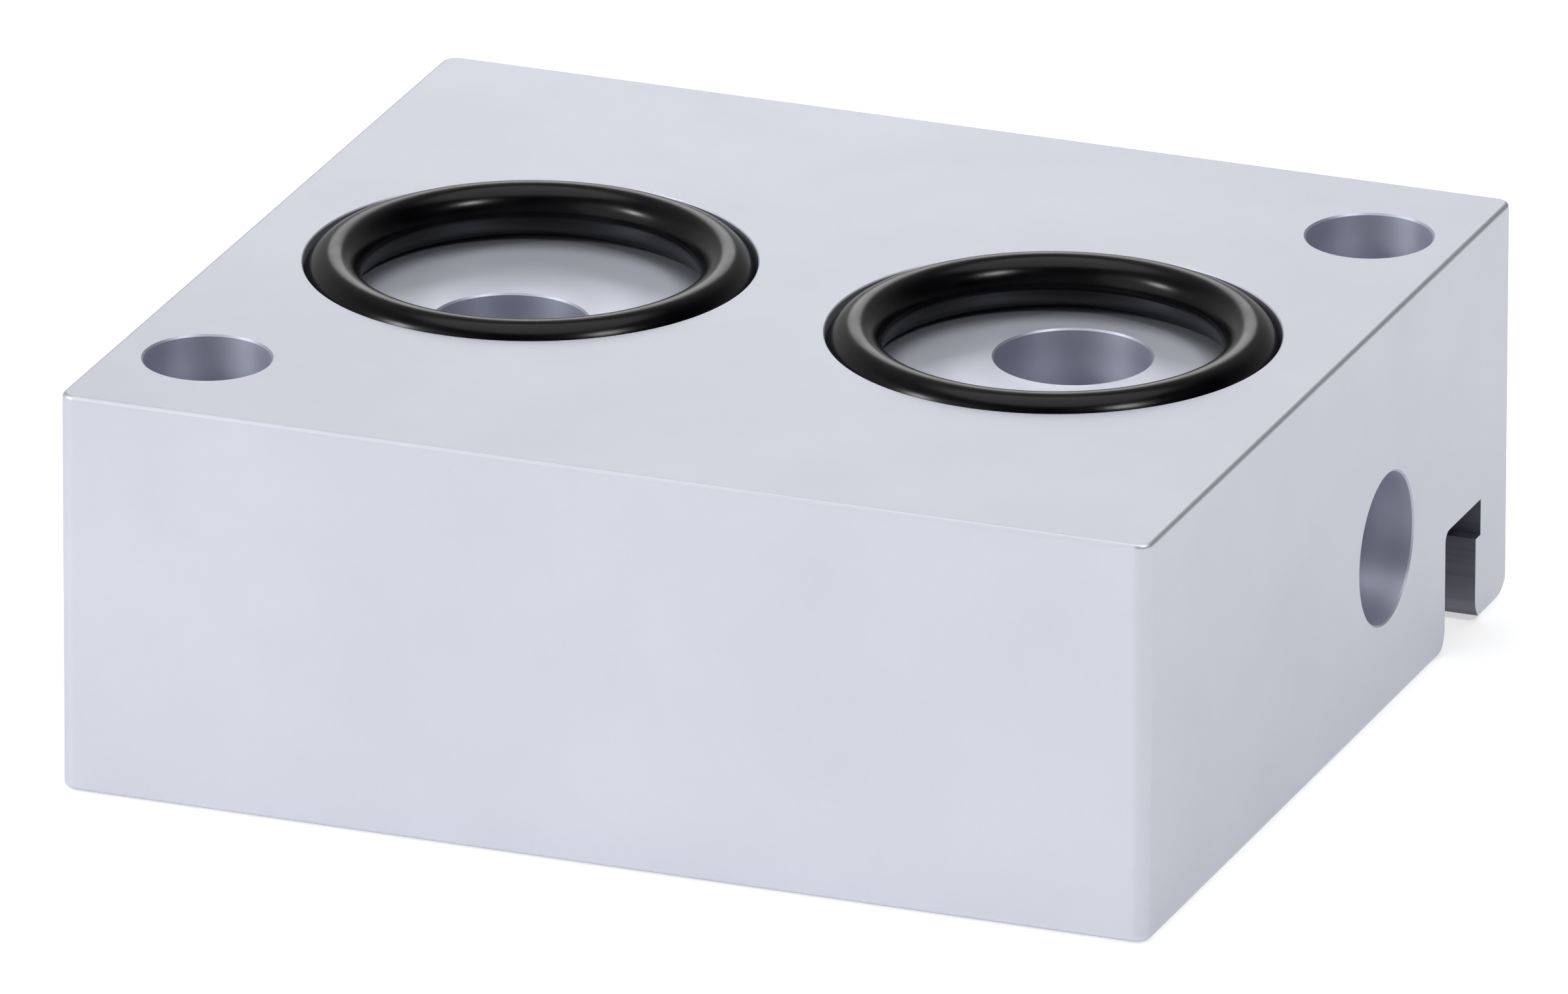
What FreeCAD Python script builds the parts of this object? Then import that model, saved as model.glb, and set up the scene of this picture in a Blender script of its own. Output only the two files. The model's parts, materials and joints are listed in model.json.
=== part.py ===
"""Porting block: a milled aluminium block with two sealed ports, cross holes and a hook groove.

Millimetres, +Z up. The origin is the centre of the bottom face, +X runs along the block's
long side and +Y towards the side with the hook groove.

Apart from that groove the block is the same after half a turn about Z, so each recess, port,
gallery and bolt hole is drawn once, on the +X half, and patterned onto the other half.
"""
import FreeCAD, Part
import Sketcher
import math
import os

# Driving dimensions: alias, value in millimetres (the drill point in degrees), meaning.
SIZES = [
    ("block_length", 49.5, "block, along X"),
    ("block_width", 45.0, "block, along Y"),
    ("block_height", 18.0, "block, along Z"),
    ("corner_round", 0.7, "radius of the block's upright corners"),
    ("bottom_round", 0.3, "radius along the block's bottom edges"),
    ("top_break", 0.2, "chamfer along the block's top edges"),
    ("hole_break", 0.1, "chamfer at the mouth of each drilled hole"),
    ("drill_point", 118.0, "included angle of the drill tips"),
    ("port_spacing", 24.0, "between the two recess centres, along X"),
    ("recess_diameter", 19.6, "flat-bottomed recess that holds a seal ring"),
    ("port_diameter", 6.8, "port drilled in the floor of a recess"),
    ("port_offset", 2.4, "port centre off the recess centre, along Y"),
    ("port_overrun", 2.0, "port drilled on past the axis of its gallery"),
    ("gallery_diameter", 6.7, "cross hole from an end face to the port"),
    ("gallery_offset", 6.85, "gallery axis off the middle of the block, along Y"),
    ("gallery_height", 7.45, "gallery axis above the bottom face"),
    ("gallery_overrun", 2.0, "gallery drilled on past the axis of its port"),
    ("bolt_hole_diameter", 5.5, "clearance hole for an M5 screw"),
    ("bolt_inset_end", 4.25, "bolt hole axis in from the end face"),
    ("bolt_inset_side", 6.5, "bolt hole axis in from the long side face"),
    ("lip_thickness", 4.4, "hook lip, from the groove to the back face"),
    ("lip_round", 0.5, "radius on the inner bottom edge of the lip"),
    ("hook_height", 3.85, "hook on the lip, up from the bottom face"),
    ("hook_undercut", 0.6, "step cut into the lip above its hook"),
    ("groove_width", 3.85, "mouth of the groove, along Y"),
    ("groove_depth", 5.5, "groove, up from the bottom face"),
    ("groove_corner", 0.5, "radius in the inner corner of the groove"),
    ("groove_mouth_round", 0.8, "radius where the groove meets the bottom face"),
    ("seal_section", 2.4, "cord thickness of a seal ring"),
    ("seal_proud", 0.45, "seal ring standing above the top face"),
    ("seal_clearance", 0.1, "between a seal ring and the wall of its recess"),
]

# The recess is as deep as the part of the seal ring that sinks into it.
RECESS_DEPTH = "(Sizes.seal_section - Sizes.seal_proud)"

# The groove is drawn on below the bottom face, so that its cut has no face in common with it.
GROOVE_RUNOUT = 1.0

START, END, CENTRE = 1, 2, 3  # the point numbers that a sketch constraint takes
ORIGIN = (-1, 1)  # a sketch's origin, as geometry and point number
ACROSS_AXIS = -1  # a sketch's horizontal axis


def add_sheet(doc):
    """Put the driving dimensions in a spreadsheet, one cell with an alias for each."""
    sheet = doc.addObject("Spreadsheet::Sheet", "Sizes")
    for row, (alias, value, meaning) in enumerate(SIZES, start=1):
        sheet.set("A%d" % row, alias)
        sheet.set("B%d" % row, str(value))
        sheet.set("C%d" % row, meaning)
        sheet.setAlias("B%d" % row, alias)
    doc.recompute()
    return sheet


def add_body(doc, label):
    """Start a body that is exported under its label."""
    body = doc.addObject("PartDesign::Body", label)
    body.Label = label
    return body


def origin_feature(body, role):
    """Find one of the body's own origin planes or axes."""
    return next(feature for feature in body.Origin.OriginFeatures if feature.Role == role)


def add_sketch(body, name, plane, lift=None):
    """Attach a sketch to an origin plane, lifted off it along its normal by an expression."""
    sketch = body.newObject("Sketcher::SketchObject", name)
    sketch.AttachmentSupport = (origin_feature(body, plane), [""])
    sketch.MapMode = "FlatFace"
    if lift:
        sketch.setExpression("AttachmentOffset.Base.z", lift)
    return sketch


def dimension(sketch, name, kind, where, expression):
    """Add a dimension constraint whose value follows an expression."""
    index = sketch.addConstraint(Sketcher.Constraint(kind, *where, 1.0))
    sketch.renameConstraint(index, name)
    sketch.setExpression("Constraints." + name, expression)


def add_circle(sketch, diameter, across, up=None):
    """Draw a circle; with no height its centre stays on the sketch's horizontal axis."""
    circle = sketch.addGeometry(Part.Circle(FreeCAD.Vector(1, 1, 0), FreeCAD.Vector(0, 0, 1), 0.5))
    dimension(sketch, "diameter", "Diameter", (circle,), diameter)
    dimension(sketch, "across", "DistanceX", (*ORIGIN, circle, CENTRE), across)
    if up:
        dimension(sketch, "up", "DistanceY", (*ORIGIN, circle, CENTRE), up)
    else:
        sketch.addConstraint(Sketcher.Constraint("PointOnObject", circle, CENTRE, ACROSS_AXIS))


def draw_centred_rectangle(sketch, length, width):
    """Draw a rectangle about the sketch's origin, with its two sides as expressions."""
    corners = [FreeCAD.Vector(x, y, 0) for x, y in ((-1, -1), (1, -1), (1, 1), (-1, 1))]
    for corner, following in zip(corners, corners[1:] + corners[:1]):
        sketch.addGeometry(Part.LineSegment(corner, following))
    for side in range(4):
        direction = "Vertical" if side % 2 else "Horizontal"
        sketch.addConstraint(Sketcher.Constraint("Coincident", side, END, (side + 1) % 4, START))
        sketch.addConstraint(Sketcher.Constraint(direction, side))
    sketch.addConstraint(Sketcher.Constraint("Symmetric", 0, START, 1, END, *ORIGIN))
    dimension(sketch, "length", "DistanceX", (0, START, 0, END), length)
    dimension(sketch, "width", "DistanceY", (1, START, 1, END), width)


def edges_where(shape, wanted):
    """Name the edges of a shape for which a test of their bounding box holds."""
    return ["Edge%d" % number for number, edge in enumerate(shape.Edges, start=1)
            if wanted(edge.BoundBox)]


def is_upright(box):
    """An upright edge has height, and no extent along X or Y."""
    return box.ZLength > 1e-3 and box.XLength < 1e-3 and box.YLength < 1e-3


def lies_at(box, height):
    """An edge lies at a height when both its lowest and highest points do."""
    return abs(box.ZMin - height) < 1e-3 and abs(box.ZMax - height) < 1e-3


def dress_edges(doc, body, kind, name, wanted, size_property, size):
    """Round or chamfer the edges of the body's tip that pass a test."""
    doc.recompute()
    base = body.Tip
    feature = body.newObject(kind, name)
    feature.Base = (base, edges_where(base.Shape, wanted))
    feature.setExpression(size_property, size)
    body.Tip = feature
    return feature


def add_blank(doc, body, height):
    """Saw and square the blank, then break its outer edges."""
    sketch = add_sketch(body, "blank_outline", "XY_Plane")
    draw_centred_rectangle(sketch, "Sizes.block_length", "Sizes.block_width")
    blank = body.newObject("PartDesign::Pad", "blank")
    blank.Profile = sketch
    blank.setExpression("Length", "Sizes.block_height")
    dress_edges(doc, body, "PartDesign::Fillet", "upright_corners", is_upright,
                "Radius", "Sizes.corner_round")
    dress_edges(doc, body, "PartDesign::Fillet", "bottom_edges", lambda box: lies_at(box, 0),
                "Radius", "Sizes.bottom_round")
    dress_edges(doc, body, "PartDesign::Chamfer", "top_edges", lambda box: lies_at(box, height),
                "Size", "Sizes.top_break")


def groove_lines(size):
    """Lay out the groove's section round its removed area, as lines and arcs in Y and Z."""
    lip = size("block_width") / 2 - size("lip_thickness")
    front = lip - size("groove_width")
    undercut = lip + size("hook_undercut")
    top, hook = size("groove_depth"), size("hook_height")
    mouth, corner, nose = size("groove_mouth_round"), size("groove_corner"), size("lip_round")

    def line(y1, z1, y2, z2):
        return Part.LineSegment(FreeCAD.Vector(y1, z1, 0), FreeCAD.Vector(y2, z2, 0))

    def arc(y, z, radius, first, last):
        circle = Part.Circle(FreeCAD.Vector(y, z, 0), FreeCAD.Vector(0, 0, 1), radius)
        return Part.ArcOfCircle(circle, math.radians(first), math.radians(last))

    return [
        line(front - mouth, -GROOVE_RUNOUT, front - mouth, 0),
        arc(front - mouth, mouth, mouth, 270, 360),
        line(front, mouth, front, top - corner),
        arc(front + corner, top - corner, corner, 90, 180),
        line(front + corner, top, undercut, top),
        line(undercut, top, undercut, hook),
        line(undercut, hook, lip, hook),
        line(lip, hook, lip, nose),
        arc(lip + nose, nose, nose, 180, 270),
        line(lip + nose, 0, lip + nose, -GROOVE_RUNOUT),
        line(lip + nose, -GROOVE_RUNOUT, front - mouth, -GROOVE_RUNOUT),
    ]


def draw_groove(sketch, size):
    """Draw the groove's section and tie it to the sheet."""
    (runout, mouth, front, corner, top, undercut, ledge, lip, nose, lip_runout, below) = range(11)
    for piece in groove_lines(size):
        sketch.addGeometry(piece)
    for side in (runout, front, undercut, lip, lip_runout):
        sketch.addConstraint(Sketcher.Constraint("Vertical", side))
    for side in (top, ledge, below):
        sketch.addConstraint(Sketcher.Constraint("Horizontal", side))
    joints = [
        ("Perpendicular", runout, END, mouth, START),
        ("Tangent", mouth, END, front, START),
        ("Tangent", front, END, corner, END),
        ("Tangent", corner, START, top, START),
        ("Coincident", top, END, undercut, START),
        ("Coincident", undercut, END, ledge, START),
        ("Coincident", ledge, END, lip, START),
        ("Tangent", lip, END, nose, START),
        ("Perpendicular", nose, END, lip_runout, START),
        ("Coincident", lip_runout, END, below, START),
        ("Coincident", below, END, runout, START),
    ]
    for joint in joints:
        sketch.addConstraint(Sketcher.Constraint(*joint))
    for piece, end in ((mouth, START), (nose, END)):
        sketch.addConstraint(Sketcher.Constraint("PointOnObject", piece, end, ACROSS_AXIS))
    dimension(sketch, "runout", "DistanceY", (runout, START, runout, END), str(GROOVE_RUNOUT))
    dimension(sketch, "mouth_round", "Radius", (mouth,), "Sizes.groove_mouth_round")
    dimension(sketch, "corner_radius", "Radius", (corner,), "Sizes.groove_corner")
    dimension(sketch, "nose_radius", "Radius", (nose,), "Sizes.lip_round")
    dimension(sketch, "lip_face", "DistanceX", (*ORIGIN, lip, START),
              "Sizes.block_width / 2 - Sizes.lip_thickness")
    dimension(sketch, "opening", "DistanceX", (front, END, lip, START), "Sizes.groove_width")
    dimension(sketch, "undercut_step", "DistanceX", (ledge, END, ledge, START), "Sizes.hook_undercut")
    dimension(sketch, "depth", "DistanceY", (*ORIGIN, top, START), "Sizes.groove_depth")
    dimension(sketch, "hook", "DistanceY", (*ORIGIN, ledge, START), "Sizes.hook_height")


def add_groove(body, size):
    """Mill the hook groove from end to end, just inside the back face."""
    sketch = add_sketch(body, "groove_section", "YZ_Plane")
    draw_groove(sketch, size)
    groove = body.newObject("PartDesign::Pocket", "hook_groove")
    groove.Profile = sketch
    groove.Type = "ThroughAll"
    groove.Midplane = True


def add_recess(body):
    """Mill the flat-bottomed recess as deep as the seal ring is meant to sink."""
    sketch = add_sketch(body, "recess_outline", "XY_Plane", "Sizes.block_height")
    add_circle(sketch, "Sizes.recess_diameter", "Sizes.port_spacing / 2")
    recess = body.newObject("PartDesign::Pocket", "seal_recess")
    recess.Profile = sketch
    recess.setExpression("Length", RECESS_DEPTH)
    return recess


def add_drilled_hole(doc, body, name, sketch, diameter, depth=None):
    """Drill a hole down from its sketch, blind to a depth or right through, with a broken mouth."""
    doc.recompute()
    hole = body.newObject("PartDesign::Hole", name)
    hole.Profile = sketch
    hole.ThreadType = "None"
    hole.setExpression("Diameter", diameter)
    if depth:
        hole.DepthType = "Dimension"
        hole.DrillPoint = "Angled"
        hole.setExpression("Depth", depth)
        hole.setExpression("DrillPointAngle", "Sizes.drill_point")
    else:
        hole.DepthType = "ThroughAll"
    hole.HoleCutType = "Countersink"
    hole.HoleCutCountersinkAngle = 90
    hole.setExpression("HoleCutDiameter", diameter + " + 2 * Sizes.hole_break")
    return hole


def add_port(doc, body):
    """Drill the port from the recess floor down past the gallery's axis."""
    sketch = add_sketch(body, "port_centre", "XY_Plane", "Sizes.block_height - " + RECESS_DEPTH)
    add_circle(sketch, "Sizes.port_diameter", "Sizes.port_spacing / 2", "Sizes.port_offset")
    depth = "Sizes.block_height - " + RECESS_DEPTH + " - Sizes.gallery_height + Sizes.port_overrun"
    return add_drilled_hole(doc, body, "port", sketch, "Sizes.port_diameter", depth)


def add_gallery(doc, body):
    """Drill the gallery from the end face in past the port's axis."""
    sketch = add_sketch(body, "gallery_centre", "YZ_Plane", "Sizes.block_length / 2")
    add_circle(sketch, "Sizes.gallery_diameter", "Sizes.gallery_offset", "Sizes.gallery_height")
    depth = "Sizes.block_length / 2 - Sizes.port_spacing / 2 + Sizes.gallery_overrun"
    return add_drilled_hole(doc, body, "gallery", sketch, "Sizes.gallery_diameter", depth)


def add_bolt_hole(doc, body):
    """Drill the clearance hole for a fixing screw right through the block."""
    sketch = add_sketch(body, "bolt_hole_centre", "XY_Plane", "Sizes.block_height")
    add_circle(sketch, "Sizes.bolt_hole_diameter",
               "Sizes.block_length / 2 - Sizes.bolt_inset_end",
               "Sizes.block_width / 2 - Sizes.bolt_inset_side")
    return add_drilled_hole(doc, body, "bolt_hole", sketch, "Sizes.bolt_hole_diameter")


def add_block(doc, size):
    """Model the block: blank, groove, and one half's holes patterned onto the other half."""
    body = add_body(doc, "port_block")
    add_blank(doc, body, size("block_height"))
    add_groove(body, size)
    holes = [add_recess(body), add_port(doc, body), add_gallery(doc, body), add_bolt_hole(doc, body)]
    doc.recompute()
    pattern = body.newObject("PartDesign::PolarPattern", "half_turn")
    pattern.Originals = holes
    pattern.Axis = (origin_feature(body, "Z_Axis"), [""])
    pattern.Angle = 360
    pattern.Occurrences = 2
    body.Tip = pattern
    return body


def add_seal_ring(doc, side, direction):
    """Mould a seal ring and lay it in its recess; direction is +1 or -1 along X."""
    body = add_body(doc, "seal_ring_" + side)
    sketch = add_sketch(body, side + "_cord_section", "XZ_Plane")
    cord_radius = "Sizes.recess_diameter / 2 - Sizes.seal_clearance - Sizes.seal_section / 2"
    add_circle(sketch, "Sizes.seal_section", cord_radius, "Sizes.seal_section / 2")
    ring = body.newObject("PartDesign::Revolution", side + "_ring")
    ring.Profile = sketch
    ring.ReferenceAxis = (origin_feature(body, "Z_Axis"), [""])
    ring.Angle = 360
    body.setExpression(".Placement.Base.x", "%d * Sizes.port_spacing / 2" % direction)
    body.setExpression(".Placement.Base.z", "Sizes.block_height - " + RECESS_DEPTH)
    return body


def check_model(doc, bodies):
    """Stop if an object failed to recompute or a sub-part has no sound solid."""
    for item in doc.Objects:
        if "Invalid" in item.State or "Error" in item.State:
            raise RuntimeError("%s did not recompute: %s" % (item.Name, item.State))
    for body in bodies:
        if body.Shape.isNull() or not body.Shape.isValid():
            raise RuntimeError("%s has no sound shape" % body.Label)


def main():
    doc = FreeCAD.newDocument("porting_block")
    sheet = add_sheet(doc)
    bodies = [
        add_block(doc, sheet.get),
        add_seal_ring(doc, "right", 1),
        add_seal_ring(doc, "left", -1),
    ]
    doc.recompute()
    check_model(doc, bodies)
    os.makedirs("parts", exist_ok=True)
    for body in bodies:
        body.Shape.exportStep(os.path.join("parts", body.Label + ".step"))
        print("%-16s %10.2f mm3" % (body.Label, body.Shape.Volume))


main()
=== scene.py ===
import json
import math

import bmesh
import bpy
from mathutils import Matrix, Vector


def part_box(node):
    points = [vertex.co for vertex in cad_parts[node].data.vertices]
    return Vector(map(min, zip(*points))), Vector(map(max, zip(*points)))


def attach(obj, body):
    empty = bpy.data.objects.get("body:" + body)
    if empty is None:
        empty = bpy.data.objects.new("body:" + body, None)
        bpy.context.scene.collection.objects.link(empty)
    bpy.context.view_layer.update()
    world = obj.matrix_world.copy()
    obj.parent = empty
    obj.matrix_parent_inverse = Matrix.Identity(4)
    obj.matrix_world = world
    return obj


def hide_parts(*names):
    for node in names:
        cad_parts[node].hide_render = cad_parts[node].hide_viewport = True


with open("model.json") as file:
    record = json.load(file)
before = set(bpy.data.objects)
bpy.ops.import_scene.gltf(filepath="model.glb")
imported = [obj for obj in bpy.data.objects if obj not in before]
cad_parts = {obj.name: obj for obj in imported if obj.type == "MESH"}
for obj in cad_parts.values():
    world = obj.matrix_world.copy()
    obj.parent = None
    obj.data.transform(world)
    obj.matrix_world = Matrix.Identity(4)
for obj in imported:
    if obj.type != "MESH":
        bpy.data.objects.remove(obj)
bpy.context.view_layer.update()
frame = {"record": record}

# ---------------------------------------------------------------------------------------------
# Porting block: a bar of wrought aluminium, milled and drilled, then blasted with fine glass
# bead and clear anodised. Two screws through it hold it down. It is shaped in millimetres, as
# on the machine, and turned to metres once it is cut.

MM = 1000.0  # millimetres in a metre
TOUCH = 1e-4  # points that lie closer than this, in millimetres, are one point

# The blank is sawn and squared to size. The cutter rounds its upright corners, and the edges
# round its top and bottom faces are only deburred.
UPRIGHT_CORNER = 0.7
BOTTOM_EDGE = 0.3
TOP_EDGE = 0.2

block_low, block_high = (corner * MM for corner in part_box("port_block"))
block_size = block_high - block_low


def round_edges(bm, wanted, radius, segments):
    """Round the edges whose two ends pass a test."""
    bmesh.ops.bevel(bm, geom=[e for e in bm.edges if wanted(*e.verts)], offset=radius,
                    segments=segments, profile=0.5, affect="EDGES", material=-1)


def upright(a, b):
    return abs(a.co.z - b.co.z) > block_size.z / 2


def both_at(height):
    return lambda a, b: abs(a.co.z - height) < TOUCH and abs(b.co.z - height) < TOUCH


def solid_object(name, bm):
    """Close off a bmesh as a solid with outward faces and put it in an object."""
    bmesh.ops.remove_doubles(bm, verts=bm.verts, dist=TOUCH)
    bmesh.ops.dissolve_degenerate(bm, edges=bm.edges, dist=TOUCH / 10)
    bmesh.ops.recalc_face_normals(bm, faces=bm.faces)
    mesh = bpy.data.meshes.new(name)
    bm.to_mesh(mesh)
    bm.free()
    piece = bpy.data.objects.new(name, mesh)
    bpy.context.scene.collection.objects.link(piece)
    return piece


blank = bmesh.new()
bmesh.ops.create_cube(blank, size=1.0, matrix=Matrix.LocRotScale(
    (block_low + block_high) / 2, None, block_size))
round_edges(blank, upright, UPRIGHT_CORNER, segments=10)
round_edges(blank, both_at(block_low.z), BOTTOM_EDGE, segments=5)
round_edges(blank, both_at(block_high.z), TOP_EDGE, segments=4)
block = solid_object("block_body", blank)

# The hook groove is a slot milled along the whole block just inside the back face, open below.
# A T-cutter steps it in above the hook that grips a rail, and the hook's outer foot is rounded
# over so that the block can be tilted on.
LIP_THICKNESS = 4.4
LIP_RADIUS = 1.0
TOE_RADIUS = 2.2
GROOVE_WIDTH = 3.85
GROOVE_DEPTH = 5.5
GROOVE_MOUTH_RADIUS = 1.1
GROOVE_CORNER_RADIUS = 0.5
HOOK_HEIGHT = 3.85
HOOK_UNDERCUT = 0.6
RUN_OUT = 1.0  # each cutter runs on past a face, so that no two faces lie in one plane


def section_arc(y, z, radius, first, last, steps=8):
    """Points of an arc in a section across the block, from one angle to another in degrees."""
    turns = [math.radians(first + (last - first) * i / steps) for i in range(steps + 1)]
    return [(y + radius * math.cos(a), z + radius * math.sin(a)) for a in turns]


lip_face = block_high.y - LIP_THICKNESS
front_wall = lip_face - GROOVE_WIDTH
mouth_edge = front_wall - GROOVE_MOUTH_RADIUS
undercut_face = lip_face + HOOK_UNDERCUT
groove_section = (
    [(mouth_edge, -RUN_OUT)]
    + section_arc(mouth_edge, GROOVE_MOUTH_RADIUS, GROOVE_MOUTH_RADIUS, -90, 0)
    + section_arc(front_wall + GROOVE_CORNER_RADIUS, GROOVE_DEPTH - GROOVE_CORNER_RADIUS,
                  GROOVE_CORNER_RADIUS, 180, 90)
    + [(undercut_face, GROOVE_DEPTH), (undercut_face, HOOK_HEIGHT), (lip_face, HOOK_HEIGHT)]
    + section_arc(lip_face + LIP_RADIUS, LIP_RADIUS, LIP_RADIUS, 180, 270)
    + [(lip_face + LIP_RADIUS, -RUN_OUT)]
)
toe_section = (
    [(block_high.y - TOE_RADIUS, -RUN_OUT)]
    + section_arc(block_high.y - TOE_RADIUS, TOE_RADIUS, TOE_RADIUS, -90, 0)
    + [(block_high.y + RUN_OUT, TOE_RADIUS), (block_high.y + RUN_OUT, -RUN_OUT)]
)


def swept_cutter(name, section):
    """Sweep a section of (y, height over the bottom face) along the whole block."""
    bm = bmesh.new()
    end_face = bm.faces.new([bm.verts.new((block_low.x - RUN_OUT, y, block_low.z + z))
                             for y, z in section])
    swept = bmesh.ops.extrude_face_region(bm, geom=[end_face])["geom"]
    bmesh.ops.translate(bm, vec=(block_size.x + 2 * RUN_OUT, 0, 0),
                        verts=[v for v in swept if isinstance(v, bmesh.types.BMVert)])
    return solid_object(name, bm)


groove_cutter = swept_cutter("groove_cutter", groove_section)
toe_cutter = swept_cutter("toe_cutter", toe_section)

# Each seal ring lies in a flat recess cut by an end mill, with a port drilled off its centre
# down to the gallery that comes in from the end face. Two screw holes pass right through on a
# diagonal. Every mouth is lightly deburred.
HOLE_BREAK = 0.08
SCREW_EXIT_BREAK = 0.08
DRILL_POINT = math.radians(118)
DRILL_OVERRUN = 2.0  # port and gallery are each drilled on past the other's axis
RING_CLEARANCE = 0.1
RECESS_RIM_BREAK = 0.05
RECESS_FOOT = 0.15  # corner that the end mill leaves round the recess floor
SCREW_INSET = Vector((4.25, 6.5))  # screw axis in from the block's end and from its long side
TURN_STEPS = 128


def spin_round(bm, steps):
    """Spin all that a bmesh holds once round the upright axis."""
    bmesh.ops.spin(bm, geom=bm.verts[:] + bm.edges[:], cent=(0, 0, 0), axis=(0, 0, 1),
                   angle=2 * math.pi, steps=steps, use_merge=True)


def turned_cutter(name, profile, mouth, axis=(0, 0, 1)):
    """Turn a profile of (radius, height over the mouth) about an axis through the mouth."""
    bm = bmesh.new()
    points = [bm.verts.new((radius, 0, height)) for radius, height in profile]
    for pair in zip(points, points[1:]):
        bm.edges.new(pair)
    spin_round(bm, TURN_STEPS)
    turn = Vector((0, 0, 1)).rotation_difference(Vector(axis))
    bmesh.ops.transform(bm, matrix=Matrix.LocRotScale(Vector(mouth), turn, None), verts=bm.verts)
    return solid_object(name, bm)


def mouth_of(radius, edge_break):
    """The start of a cutter's profile: clear of the face, then in to its radius."""
    return [(0, RUN_OUT), (radius + edge_break + RUN_OUT, RUN_OUT), (radius, -edge_break)]


def blind_hole(radius, depth):
    tip = radius / math.tan(DRILL_POINT / 2)
    return mouth_of(radius, HOLE_BREAK) + [(radius, -depth), (0, -depth - tip)]


def through_hole(radius, depth):
    flared = radius + SCREW_EXIT_BREAK + RUN_OUT
    below = -depth - RUN_OUT
    return mouth_of(radius, HOLE_BREAK) + [
        (radius, -depth + SCREW_EXIT_BREAK), (flared, below), (0, below)]


def recess(radius, depth):
    bend = 0.3 * RECESS_FOOT  # the foot's round corner has one bend, this far off wall and floor
    return mouth_of(radius, RECESS_RIM_BREAK) + [
        (radius, -depth + RECESS_FOOT), (radius - bend, -depth + bend),
        (radius - RECESS_FOOT, -depth), (0, -depth)]


mounts = {mount["name"]: mount for mount in frame["record"]["mounts"]}
screw_radius = mounts["screw_holes"]["dims"]["hole_r_mm"]
cutters = {
    "outside": [toe_cutter], "groove": [groove_cutter], "recess": [], "upright": [], "cross": [],
}
for side, hand in (("right", 1), ("left", -1)):
    ring_low, ring_high = (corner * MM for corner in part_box("seal_ring_" + side))
    port, gallery = (mounts[kind + side] for kind in ("port_", "gallery_"))
    port_x, port_y = (value * MM for value in port["pos_m"][:2])
    gallery_y, gallery_z = (value * MM for value in gallery["pos_m"][1:])
    screw_x, screw_y = hand * (block_high.xy - SCREW_INSET)
    floor_z = ring_low.z
    recess_x = (ring_low.x + ring_high.x) / 2
    cutters["recess"].append(turned_cutter(
        "recess_mill_" + side,
        recess((ring_high.x - ring_low.x) / 2 + RING_CLEARANCE, block_high.z - floor_z),
        mouth=(recess_x, 0, block_high.z)))
    cutters["upright"].append(turned_cutter(
        "port_drill_" + side,
        blind_hole(port["dims"]["r_mm"], floor_z - gallery_z + DRILL_OVERRUN),
        mouth=(port_x, port_y, floor_z)))
    cutters["cross"].append(turned_cutter(
        "gallery_drill_" + side,
        blind_hole(gallery["dims"]["r_mm"], block_high.x - abs(port_x) + DRILL_OVERRUN),
        mouth=(hand * block_high.x, gallery_y, gallery_z), axis=(hand, 0, 0)))
    cutters["upright"].append(turned_cutter(
        "screw_drill_" + side, through_hole(screw_radius, block_size.z),
        mouth=(screw_x, screw_y, block_high.z)))

# The anodic film turns the blasted outside into a pale, even, silky grey. The same film lies
# thinner over the cutter marks inside: a spiral in the bores, rings on the recess floors, and
# long strokes in the groove.
WAVE_LENGTH = math.pi / 10  # the wave texture repeats at this distance where its scale is one


def linear(hex_colour):
    """An sRGB hex colour as linear RGBA."""
    values = [int(hex_colour[i:i + 2], 16) / 255 for i in (1, 3, 5)]
    return [v / 12.92 if v <= 0.04045 else ((v + 0.055) / 1.055) ** 2.4 for v in values] + [1.0]


def add(tree, kind, links=None, stops=(), **settings):
    """Add a node with its links, colour stops and settings; an input goes by name or as i0."""
    node = tree.nodes.new("ShaderNode" + kind)

    def socket(key):
        return node.inputs[int(key[1:]) if key[1:].isdigit() else key.replace("_", " ")]

    for key, value in settings.items():
        if hasattr(node, key):
            setattr(node, key, value)
        else:
            socket(key).default_value = value
    for key, source in (links or {}).items():
        tree.links.new(source, socket(key))
    if stops:
        elements = node.color_ramp.elements
        while len(elements) < len(stops):
            elements.new(0.5)
        for element, (position, colour) in zip(elements, stops):
            element.position = position
            element.color = linear(colour)
    return node


def new_finish(name, **settings):
    """Start a material: its node tree, its shader and the piece's own coordinates."""
    material = bpy.data.materials.new(name)
    material.use_nodes = True
    tree = material.node_tree
    shader = tree.nodes["Principled BSDF"]
    for key, value in settings.items():
        shader.inputs[key.replace("_", " ")].default_value = value
    return material, tree, shader, add(tree, "TexCoord").outputs["Object"]


def surface(tree, shader, relief, strength, depth, **sources):
    """Give a shader its sources and a relief, whose depth is in millimetres."""
    bump = add(tree, "Bump", {"Height": relief}, Strength=strength, Distance=depth / MM)
    for key, source in {"Normal": bump.outputs["Normal"], **sources}.items():
        tree.links.new(source, shader.inputs[key.replace("_", " ")])


def blasted_finish():
    """Glass-bead blasted and clear anodised: fine even grit, with faint cloudy patches."""
    material, tree, shader, place = new_finish("bead_blasted_anodised_aluminium", Metallic=1.0)
    # Bead dimples are about 0.05 mm across; they are drawn at 0.16 mm so that they show.
    grit = add(tree, "TexNoise", {"Vector": place}, Scale=MM / 0.16, Detail=2.0).outputs["Fac"]
    rough = add(tree, "MapRange", {"Value": grit}, To_Min=0.46, To_Max=0.54)
    # The film's thickness drifts over 5 to 10 mm, which clouds the grey by a hair.
    cloud = add(tree, "TexNoise", {"Vector": place}, Scale=MM / 7.0, Detail=3.0).outputs["Fac"]
    grey = add(tree, "ValToRGB", {"Fac": cloud}, stops=[(0.3, "#D6D8E2"), (0.7, "#DADCE6")])
    surface(tree, shader, grit, strength=0.12, depth=0.02,
            Base_Color=grey.outputs["Color"], Roughness=rough.outputs["Result"])
    return material


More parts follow.
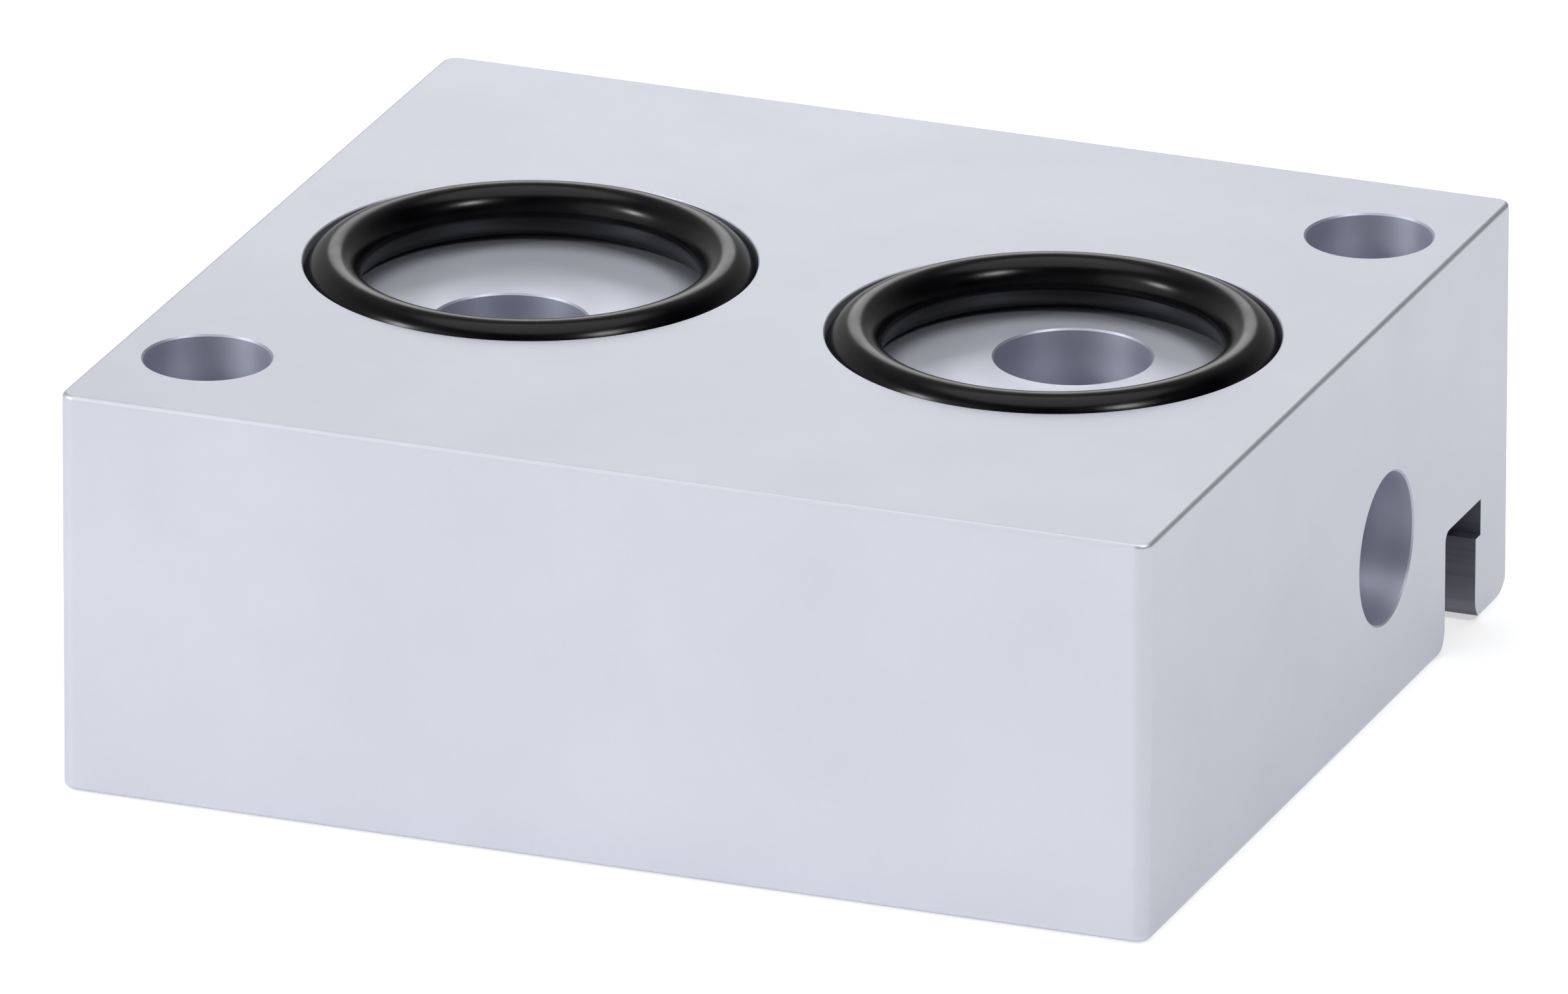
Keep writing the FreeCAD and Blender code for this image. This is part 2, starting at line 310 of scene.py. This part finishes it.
def bored_finish(name, axis):
    """Drilled: the feed leaves a spiral round the bore, so lamps streak along its axis."""
    material, tree, shader, place = new_finish(name, Metallic=0.85, Roughness=0.55,
                                               Anisotropic=0.6)
    # The drill's feed is about 0.1 mm a turn; its marks are drawn at 2.2 mm so that they show.
    feed = add(tree, "TexWave", {"Vector": place}, bands_direction=axis,
               Scale=WAVE_LENGTH * MM / 2.2, Distortion=0.6, Detail=1.0).outputs["Fac"]
    grey = add(tree, "ValToRGB", {"Fac": feed}, stops=[(0.0, "#CACDDC"), (1.0, "#D6D9E8")])
    along = add(tree, "CombineXYZ", **{axis: 1.0})
    surface(tree, shader, feed, strength=0.15, depth=0.02,
            Base_Color=grey.outputs["Color"], Tangent=along.outputs["Vector"])
    return material


def milled_floor_finish(offset):
    """End-milled: rings round the middle of each recess, softened by the anodic film."""
    material, tree, shader, place = new_finish("end_milled_aluminium", Metallic=0.9, Roughness=0.5)
    # The two recesses mirror each other in X, so one set of rings serves both.
    apart = add(tree, "SeparateXYZ", {"Vector": place}).outputs
    across = add(tree, "Math", {"i0": apart["X"]}, operation="ABSOLUTE").outputs["Value"]
    local = add(tree, "Math", {"i0": across}, operation="SUBTRACT", i1=offset / MM)
    centred = add(tree, "CombineXYZ", {"X": local.outputs["Value"], "Y": apart["Y"]})
    # The mill's marks are about 0.15 mm apart; they are drawn at 2.51 mm so that they show.
    rings = add(tree, "TexWave", {"Vector": centred.outputs["Vector"]}, wave_type="RINGS",
                rings_direction="Z", Scale=WAVE_LENGTH * MM / 2.51,
                Distortion=0.3, Detail=1.0).outputs["Fac"]
    grey = add(tree, "ValToRGB", {"Fac": rings}, stops=[(0.0, "#E1E4F0"), (1.0, "#E8EBF6")])
    surface(tree, shader, rings, strength=0.1, depth=0.02, Base_Color=grey.outputs["Color"])
    return material


def milled_groove_painted_shade_finish():
    """Slot-milled: long strokes along the groove, in a duller film whose dark grey is painted
    shade for the deep, narrow slot.
    """
    material, tree, shader, place = new_finish("slot_milled_aluminium_painted_shade", Metallic=0.8,
                                               Roughness=0.45)
    # Strokes are about 0.2 mm apart, drawn at 0.25 mm so that they show, and fifty times as long.
    strokes = add(tree, "Mapping", {"Vector": place}, Scale=(1 / 50, 1, 1)).outputs["Vector"]
    marks = add(tree, "TexNoise", {"Vector": strokes}, Scale=MM / 0.25, Detail=2.0).outputs["Fac"]
    # Painted shade: this grey is far darker than the outside's and stands for the shade inside the
    # slot; only the strokes are the cutter's own marks.
    grey = add(tree, "ValToRGB", {"Fac": marks}, stops=[(0.3, "#787984"), (0.7, "#83848F")])
    surface(tree, shader, marks, strength=0.1, depth=0.02, Base_Color=grey.outputs["Color"])
    return material


finishes = {
    "outside": blasted_finish(),
    "groove": milled_groove_painted_shade_finish(),
    "recess": milled_floor_finish(abs(recess_x)),
    "upright": bored_finish("drilled_aluminium_upright", "Z"),
    "cross": bored_finish("drilled_aluminium_cross", "X"),
}

# Each cutter is taken out of the blank in turn and leaves its own finish behind. Sharp meeting
# lines stay sharp, and the rounded edges shade smoothly into the flat faces.
SHARP_ANGLE = math.radians(32)

for operation, finish in finishes.items():
    block.data.materials.append(finish)
    for cutter in cutters[operation]:
        cutter.data.materials.append(finish)
        cut = block.modifiers.new(cutter.name, "BOOLEAN")
        cut.operation = "DIFFERENCE"
        cut.solver = "EXACT"
        cut.material_mode = "TRANSFER"
        cut.object = cutter

bpy.context.view_layer.update()
evaluated_block = block.evaluated_get(bpy.context.evaluated_depsgraph_get())
cut_block = bpy.data.meshes.new_from_object(evaluated_block)
cut_block.transform(Matrix.Scale(1 / MM, 4))
cut_block.shade_smooth()
cut_block.set_sharp_from_angle(angle=SHARP_ANGLE)
block.modifiers.clear()
block.data = cut_block
for cutter in sum(cutters.values(), []):
    bpy.data.objects.remove(cutter)
flats = block.modifiers.new("flat_faces_lead", "WEIGHTED_NORMAL")
flats.keep_sharp = True
flats.weight = 100
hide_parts("port_block")
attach(block, "root")

# ---------------------------------------------------------------------------------------------
# Seal rings: two O-rings moulded in black nitrile rubber and laid in the recesses by hand. The
# mould's parting line is left as a hair of flash round the inside and the outside, and a wipe
# of assembly grease gives them a wet shine.

SECTION_STEPS = 72
RING_STEPS = 200
FLASH_HEIGHT = 0.03


def rubber_finish():
    """Nitrile rubber, moulded and lightly greased: near black, with a wet, uneven shine."""
    material, tree, shader, place = new_finish("greased_nitrile_rubber", IOR=1.5,
                                               Specular_IOR_Level=0.2)
    # The grease film breaks up over about 1.5 mm.
    film = add(tree, "TexNoise", {"Vector": place}, Scale=MM / 1.5, Detail=3.0).outputs["Fac"]
    rough = add(tree, "MapRange", {"Value": film}, From_Min=0.3, From_Max=0.7,
                To_Min=0.2, To_Max=0.26)
    black = add(tree, "ValToRGB", {"Fac": film}, stops=[(0.3, "#020103"), (0.7, "#050407")])
    # The mould skin is all but smooth: its ripple is 0.3 mm long and about a micron deep.
    skin = add(tree, "TexNoise", {"Vector": place}, Scale=MM / 0.3, Detail=1.0).outputs["Fac"]
    surface(tree, shader, skin, strength=0.1, depth=0.01,
            Base_Color=black.outputs["Color"], Roughness=rough.outputs["Result"])
    return material


rubber = rubber_finish()
for side in ("right", "left"):
    low, high = (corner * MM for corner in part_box("seal_ring_" + side))
    cord_radius = (high.z - low.z) / 2
    ring_radius = (high.x - low.x) / 2 - cord_radius
    ring = bmesh.new()
    bmesh.ops.create_circle(ring, segments=SECTION_STEPS, radius=cord_radius,
                            matrix=Matrix.Rotation(math.radians(90), 4, "X"))
    for vert in ring.verts:
        if abs(vert.co.z) < TOUCH:
            vert.co.x *= 1 + FLASH_HEIGHT / cord_radius
    bmesh.ops.translate(ring, vec=(ring_radius, 0, 0), verts=ring.verts)
    spin_round(ring, RING_STEPS)
    bmesh.ops.translate(ring, vec=(low + high) / 2, verts=ring.verts)
    o_ring = solid_object("o_ring_" + side, ring)
    o_ring.data.transform(Matrix.Scale(1 / MM, 4))
    o_ring.data.shade_smooth()
    o_ring.data.materials.append(rubber)
    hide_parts("seal_ring_" + side)
    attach(o_ring, "root")

# ---------------------------------------------------------------------------------------------
# Studio floor: a wide white table, painted matt. It glows of itself, most of all to the camera,
# so that it reads as plain white and still keeps the block's soft shadow.

FLOOR_REACH = 6.0
FLOOR_GAP = 0.05 / MM  # a hair under the block, so that the two faces don't fight
CAMERA_GLOW = 1.8  # the glow that the camera sees, as a multiple of the one in reflections

floor_mesh = bmesh.new()
bmesh.ops.create_grid(floor_mesh, x_segments=1, y_segments=1, size=FLOOR_REACH,
                      matrix=Matrix.Translation((0, 0, -FLOOR_GAP)))
floor_data = bpy.data.meshes.new("studio_floor")
floor_mesh.to_mesh(floor_data)
floor_mesh.free()
floor = bpy.data.objects.new("studio_floor", floor_data)
bpy.context.scene.collection.objects.link(floor)
white = bpy.data.materials.new("matt_white_table")
white.use_nodes = True
tree = white.node_tree
tree.nodes.remove(tree.nodes["Principled BSDF"])
path = add(tree, "LightPath").outputs
seen = add(tree, "Math", {"i0": path["Is Camera Ray"], "i2": path["Is Glossy Ray"]},
           operation="MULTIPLY_ADD", i1=CAMERA_GLOW)
paint = add(tree, "BsdfDiffuse", Color=linear("#E7E7E7"))
glow = add(tree, "Emission", {"Strength": seen.outputs["Value"]}, Color=linear("#939393"))
both = add(tree, "AddShader", {"i0": paint.outputs["BSDF"], "i1": glow.outputs["Emission"]})
tree.links.new(both.outputs["Shader"], tree.nodes["Material Output"].inputs["Surface"])
floor_data.materials.append(white)

# ---------------------------------------------------------------------------------------------
# Light: a pale room that darkens upwards to the right, a large soft light overhead, another low
# at the front left, and small softboxes that streak the bores and glint on the seal rings.

ROOM_TILT = math.radians(30)  # the room is darkest this far off plumb, towards the right
SOFTBOXES = [  # name, direction from the block, distance and width in metres, power in watts
    ("overhead", (-0.05, 0.15, 1.0), 1.0, 0.95, 3.9),
    ("back", (-0.335, 0.872, 0.356), 0.5, 0.16, 0.14),
    ("front_left", (-0.6, -0.75, 0.42), 1.0, 1.0, 2.0),
    ("right", (0.57, -0.20, 0.80), 0.5, 0.09, 0.66),
    ("left", (-0.69, -0.43, 0.59), 0.5, 0.09, 0.6),
]

world = bpy.data.worlds.new("pale_room")
bpy.context.scene.world = world
world.use_nodes = True
tree = world.node_tree
slant = add(tree, "VectorMath", {"i0": add(tree, "TexCoord").outputs["Generated"]},
            operation="DOT_PRODUCT", i1=(math.sin(ROOM_TILT), 0, math.cos(ROOM_TILT)))
room = add(tree, "ValToRGB", {"Fac": slant.outputs["Value"]},
           stops=[(0.0, "#BABABA"), (0.2, "#8E8E8E"), (0.45, "#969696"), (0.8, "#202020")])
tree.links.new(room.outputs["Color"], tree.nodes["Background"].inputs["Color"])

for name, direction, distance, width, power in SOFTBOXES:
    lamp_data = bpy.data.lights.new("softbox_" + name, "AREA")
    lamp_data.shape = "DISK"
    lamp_data.size = width
    lamp_data.energy = power
    lamp = bpy.data.objects.new("softbox_" + name, lamp_data)
    bpy.context.scene.collection.objects.link(lamp)
    away = Vector(direction).normalized()
    lamp.location = away * distance
    lamp.rotation_euler = away.to_track_quat("Z", "Y").to_euler()

# ---------------------------------------------------------------------------------------------
# Camera: a very long lens, nearly a metre and a half off, a little right of the block's front
# and looking down on it.

AZIMUTH = math.radians(21.04)
ELEVATION = math.radians(20.93)
ROLL = math.radians(0.13)
DISTANCE = 1.422
FOCAL_LENGTH = 760.6  # in millimetres, as the sensor's width is
SENSOR_WIDTH = 36.0
AIM_OFFSET = (0.29, 0.19)  # the block's middle lies this far right of and over the aim, in mm

camera_data = bpy.data.cameras.new("camera")
camera_data.lens = FOCAL_LENGTH
camera_data.sensor_width = SENSOR_WIDTH
camera = bpy.data.objects.new("camera", camera_data)
bpy.context.scene.collection.objects.link(camera)
facing = Matrix.Rotation(AZIMUTH, 3, "Z") @ Matrix.Rotation(math.radians(90) - ELEVATION, 3, "X")
aim = (block_low + block_high) / 2 / MM - facing @ Vector((*AIM_OFFSET, 0)) / MM
stand = Matrix.Translation(aim + facing @ Vector((0, 0, DISTANCE)))
camera.matrix_world = stand @ (facing @ Matrix.Rotation(ROLL, 3, "Z")).to_4x4()
bpy.context.scene.camera = camera
bpy.context.scene.view_settings.view_transform = "Standard"
